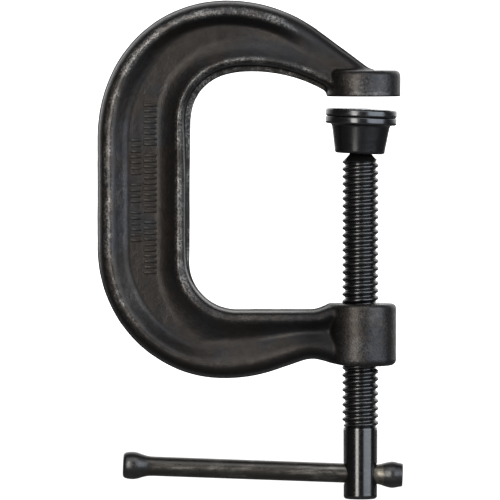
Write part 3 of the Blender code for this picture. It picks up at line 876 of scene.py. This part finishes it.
class Paint:
    """One Principled material and short calls for the nodes that feed it."""

    def __init__(self, name, metallic, specular=0.5):
        self.material = bpy.data.materials.new(name)
        self.material.use_nodes = True
        self.tree = self.material.node_tree
        self.shader = self.tree.nodes["Principled BSDF"]
        self.shader.inputs["Metallic"].default_value = metallic
        self.shader.inputs["Specular IOR Level"].default_value = specular
        self.place = self.tree.nodes.new("ShaderNodeTexCoord").outputs["Object"]

    def link(self, value, socket):
        """Feeds a socket from a node, or sets it to a plain value."""
        if isinstance(value, bpy.types.NodeSocket):
            self.tree.links.new(value, socket)
        else:
            socket.default_value = value

    def noise(self, size, detail=3.0, rough=0.55, stretch=None):
        """Noise with features about that many millimetres across."""
        node = self.tree.nodes.new("ShaderNodeTexNoise")
        node.inputs["Scale"].default_value = 1.0 / (size * MM)
        node.inputs["Detail"].default_value = detail
        node.inputs["Roughness"].default_value = rough
        place = self.place
        if stretch:
            mapping = self.tree.nodes.new("ShaderNodeMapping")
            mapping.inputs["Scale"].default_value = stretch
            self.link(place, mapping.inputs["Vector"])
            place = mapping.outputs["Vector"]
        self.link(place, node.inputs["Vector"])
        return node.outputs["Fac"]

    def turning_marks(self):
        """Noise drawn out into fine rings round a turned piece."""
        return self.noise(0.35, 2.0, 0.5, (0.1, 0.1, 1.0))

    def attribute(self, name):
        """A mask that the mesh carries at its points."""
        node = self.tree.nodes.new("ShaderNodeAttribute")
        node.attribute_name = name
        return node.outputs["Fac"]

    def along(self, axis):
        """Millimetres along one of the object's own axes."""
        split = self.tree.nodes.new("ShaderNodeSeparateXYZ")
        self.link(self.place, split.inputs["Vector"])
        return self.math("MULTIPLY", split.outputs[axis], 1.0 / MM)

    def ramp(self, value, low, high, to_low=0.0, to_high=1.0):
        """One number below the low value, another above the high one, and smooth between."""
        node = self.tree.nodes.new("ShaderNodeMapRange")
        node.interpolation_type = "SMOOTHSTEP"
        for key, number in zip(
            ("From Min", "From Max", "To Min", "To Max"), (low, high, to_low, to_high)
        ):
            node.inputs[key].default_value = number
        self.link(value, node.inputs["Value"])
        return node.outputs["Result"]

    def math(self, operation, a, b=None):
        """One Math node, on one value or two."""
        node = self.tree.nodes.new("ShaderNodeMath")
        node.operation = operation
        self.link(a, node.inputs[0])
        if b is not None:
            self.link(b, node.inputs[1])
        return node.outputs["Value"]

    def mix(self, share, a, b):
        """From one colour to the other by that share."""
        node = self.tree.nodes.new("ShaderNodeMix")
        node.data_type = "RGBA"
        self.link(share, node.inputs[0])
        for value, socket in ((a, node.inputs[6]), (b, node.inputs[7])):
            self.link((*value, 1.0) if isinstance(value, tuple) else value, socket)
        return node.outputs[2]

    def bump(self, height, depth, after=None):
        """Bumps of that many millimetres."""
        node = self.tree.nodes.new("ShaderNodeBump")
        node.inputs["Distance"].default_value = depth * MM
        self.link(height, node.inputs["Height"])
        if after:
            self.link(after, node.inputs["Normal"])
        return node.outputs["Normal"]

    def finish(self, colour, roughness, normal):
        """Feeds the shader and hands over the material."""
        self.link(colour, self.shader.inputs["Base Color"])
        self.link(roughness, self.shader.inputs["Roughness"])
        self.link(normal, self.shader.inputs["Normal"])
        return self.material


def forged_steel():
    """Scale-brown and blue-black oxide, rubbed to grey steel on its crests, with painted shade in its
    hollows and on its sunk web.
    """
    paint = Paint("forged_oxide", 0.85, 0.5)
    tint = paint.ramp(paint.noise(15.0, 2.0), 0.4, 0.62)
    oxide = paint.mix(tint, BROWN_OXIDE, BLUE_OXIDE)
    mottle = paint.ramp(paint.noise(2.4, 4.0, 0.65), 0.3, 0.72)
    oxide = paint.mix(paint.math("MULTIPLY", mottle, 0.5), oxide, PALE_SCALE)
    thick = paint.math("ABSOLUTE", paint.along("Y"))
    # Painted shade: darker down on the sunk web, and in the hollows and corners that the mask marks
    sunk = paint.ramp(thick, WEB_HALF + 1.3, WEB_HALF + 0.3, 0.0, 0.4)
    shade_mask = paint.attribute("shade_mask")
    darkening = paint.math("MAXIMUM", sunk, paint.math("MULTIPLY", shade_mask, 0.82))
    oxide = paint.mix(darkening, oxide, SHADE_COLOUR)
    grain = paint.noise(0.7, 3.0, 0.6)
    bare = paint.ramp(grain, 0.4, 0.64, 0.12, 1.0)
    bare = paint.math("MULTIPLY", paint.attribute("rub"), bare)
    colour = paint.mix(bare, oxide, BARE_STEEL)
    # Rougher where the painted shade lies
    dulling = paint.math("MULTIPLY", shade_mask, 0.12)
    roughness = paint.math("ADD", paint.ramp(grain, 0.25, 0.75, 0.35, 0.47), dulling)
    pits = paint.bump(paint.noise(1.5, 4.0, 0.6), 0.115)
    return paint.finish(colour, roughness, paint.bump(grain, 0.033, pits))


def spring_steel():
    """The retaining ring's bare steel, which is hidden in the pad."""
    paint = Paint("ring_steel", 0.7)
    marks = paint.turning_marks()
    tint = paint.mix(paint.noise(2.5, 3.0), (0.05, 0.05, 0.05), (0.12, 0.12, 0.12))
    return paint.finish(tint, paint.ramp(marks, 0.3, 0.7, 0.3, 0.45), paint.bump(marks, 0.004))


def screw_steel():
    """Glossy black oxide on the screw, brightest on its head and duller on its thread."""
    paint = Paint("screw_oxide", 0.0, 0.49)
    marks = paint.turning_marks()
    blotch = paint.ramp(paint.noise(2.5, 3.0), 0.35, 0.75, 0.0, 0.3)
    colour = paint.mix(blotch, (0.002, 0.002, 0.002), (0.007, 0.006, 0.006))
    roughness = paint.ramp(marks, 0.3, 0.7, 0.15, 0.23)
    thread = paint.ramp(paint.along("Z"), HEAD_TOP_Z - 0.5, HEAD_TOP_Z + 0.5, 0.0, 0.07)
    return paint.finish(colour, paint.math("ADD", roughness, thread), paint.bump(marks, 0.003))


def pad_steel():
    """The pad's glossy black oxide, polished by handling on its rim and duller on its skirt."""
    paint = Paint("pad_oxide", 0.9, 0.2)
    marks = paint.turning_marks()
    blotch = paint.ramp(paint.noise(2.5, 3.0), 0.35, 0.75, 0.0, 0.4)
    skirt = paint.mix(blotch, (0.027, 0.027, 0.028), (0.035, 0.035, 0.036))
    rim = paint.mix(blotch, (0.041, 0.041, 0.043), (0.057, 0.057, 0.059))
    polish = paint.ramp(paint.along("Z"), PAD_SHOULDER_Z - 0.5, PAD_SHOULDER_Z + 0.3)
    roughness = paint.ramp(marks, 0.3, 0.7, 0.18, 0.27)
    return paint.finish(paint.mix(polish, skirt, rim), roughness, paint.bump(marks, 0.003))


def bar_steel():
    """Drawn bar, its oxide thinly rubbed to grey, and bare where it slides by its right knob."""
    paint = Paint("bar_oxide", 0.85, 0.6)
    streak = paint.ramp(paint.noise(1.8, 3.0, 0.6, (0.16, 1.0, 1.0)), 0.4, 0.75)
    patch = paint.ramp(paint.noise(7.0, 2.0), 0.4, 0.66, 0.1, 0.75)
    worn = paint.math("MULTIPLY", streak, patch)
    colour = paint.mix(worn, (0.027, 0.0245, 0.0218), (0.155, 0.145, 0.13))
    x = paint.along("X")
    bare = paint.math("MULTIPLY", paint.ramp(x, 4.0, 6.2), paint.ramp(x, 8.2, 7.6))
    bare = paint.math("MULTIPLY", bare, paint.ramp(paint.noise(1.5, 3.0), 0.3, 0.6, 0.3, 0.9))
    colour = paint.mix(bare, colour, (0.095, 0.086, 0.069))
    knob = paint.math("MAXIMUM", paint.ramp(x, 7.8, 8.6), paint.ramp(x, -72.0, -75.0))
    colour = paint.mix(paint.math("MULTIPLY", knob, 0.8), colour, (0.026, 0.026, 0.027))
    grain = paint.noise(0.6, 3.0, 0.6)
    roughness = paint.ramp(grain, 0.3, 0.7, 0.27, 0.4)
    return paint.finish(colour, roughness, paint.bump(grain, 0.006))


# --- stage ---------------------------------------------------------------------------------


def build_stage():
    """A pale floor well under the clamp, which reads as plain white to the camera."""
    mesh = bpy.data.meshes.new("floor")
    corners = [(x * FLOOR_HALF, y * FLOOR_HALF, 0.0) for x, y in ((-1, -1), (1, -1), (1, 1), (-1, 1))]
    mesh.from_pydata(corners, [], [(0, 1, 2, 3)])
    floor = new_object("floor", mesh)
    floor.location.z = CAD_BOX[0][2] - FLOOR_DROP
    material = bpy.data.materials.new("pale_floor")
    material.use_nodes = True
    tree = material.node_tree
    shader = tree.nodes["Principled BSDF"]
    shader.inputs["Base Color"].default_value = (0.2, 0.2, 0.2, 1.0)
    shader.inputs["Roughness"].default_value = 0.9
    shader.inputs["Specular IOR Level"].default_value = 0.1
    shader.inputs["Emission Color"].default_value = (1.0, 1.0, 1.0, 1.0)
    ray = tree.nodes.new("ShaderNodeLightPath")
    tree.links.new(ray.outputs["Is Camera Ray"], shader.inputs["Emission Strength"])
    mesh.materials.append(material)


def build_world():
    """White behind the clamp, dim in front of it, so that its edges are rimmed with light."""
    world = bpy.data.worlds.new("studio")
    bpy.context.scene.world = world
    world.use_nodes = True
    tree = world.node_tree
    back = tree.nodes["Background"]
    back.inputs["Color"].default_value = (1.0, 1.0, 1.0, 1.0)
    place = tree.nodes.new("ShaderNodeTexCoord")
    split = tree.nodes.new("ShaderNodeSeparateXYZ")
    fade_back = tree.nodes.new("ShaderNodeMapRange")
    fade_back.interpolation_type = "SMOOTHSTEP"
    for key, number in WORLD_FADE.items():
        fade_back.inputs[key].default_value = number
    ray = tree.nodes.new("ShaderNodeLightPath")
    pick = tree.nodes.new("ShaderNodeMath")
    pick.operation = "MAXIMUM"
    tree.links.new(place.outputs["Generated"], split.inputs["Vector"])
    tree.links.new(split.outputs["Y"], fade_back.inputs["Value"])
    tree.links.new(fade_back.outputs["Result"], pick.inputs[0])
    tree.links.new(ray.outputs["Is Camera Ray"], pick.inputs[1])
    tree.links.new(pick.outputs["Value"], back.inputs["Strength"])


def face_target(obj, distance, azimuth, elevation):
    """Sets an object that far from the target, right of and above the front, looking at it."""
    a, e = math.radians(azimuth), math.radians(elevation)
    way = Vector((math.sin(a) * math.cos(e), -math.cos(a) * math.cos(e), math.sin(e)))
    obj.location = CAMERA_TARGET + distance * way
    obj.rotation_euler = way.to_track_quat("Z", "Y").to_euler()


def build_camera():
    """A long lens, nearly level, square to the clamp's side."""
    camera = bpy.data.cameras.new("camera")
    camera.lens = camera.sensor_width * CAMERA_DISTANCE / VIEW_WIDTH
    camera.clip_end = 20.0
    obj = new_object("camera", camera)
    face_target(obj, CAMERA_DISTANCE, 0.0, CAMERA_ELEVATION)
    bpy.context.scene.camera = obj


def build_light(name, azimuth, elevation, size, radiance, colour):
    """A soft light, which the camera doesn't see."""
    light = bpy.data.lights.new(name, "AREA")
    light.shape = "RECTANGLE"
    light.size, light.size_y = size
    light.energy = 4.0 * radiance * size[0] * size[1]
    light.color = colour
    obj = new_object(name, light)
    face_target(obj, LIGHT_DISTANCE, azimuth, elevation)
    obj.visible_camera = False


# --- the whole scene -----------------------------------------------------------------------

forged = forged_steel()
build_forging(forged)
build_ticks(forged)
build_screw(screw_steel())
pad_oxide = pad_steel()
build_pad(pad_oxide)
build_pad_face(pad_oxide)
build_bar(bar_steel())
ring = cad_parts["pad_retaining_ring"]
ring.data.materials.clear()
ring.data.materials.append(spring_steel())

build_stage()
build_world()
build_camera()
for row in LIGHTS:
    build_light(**row)
bpy.context.scene.view_settings.view_transform = "Standard"
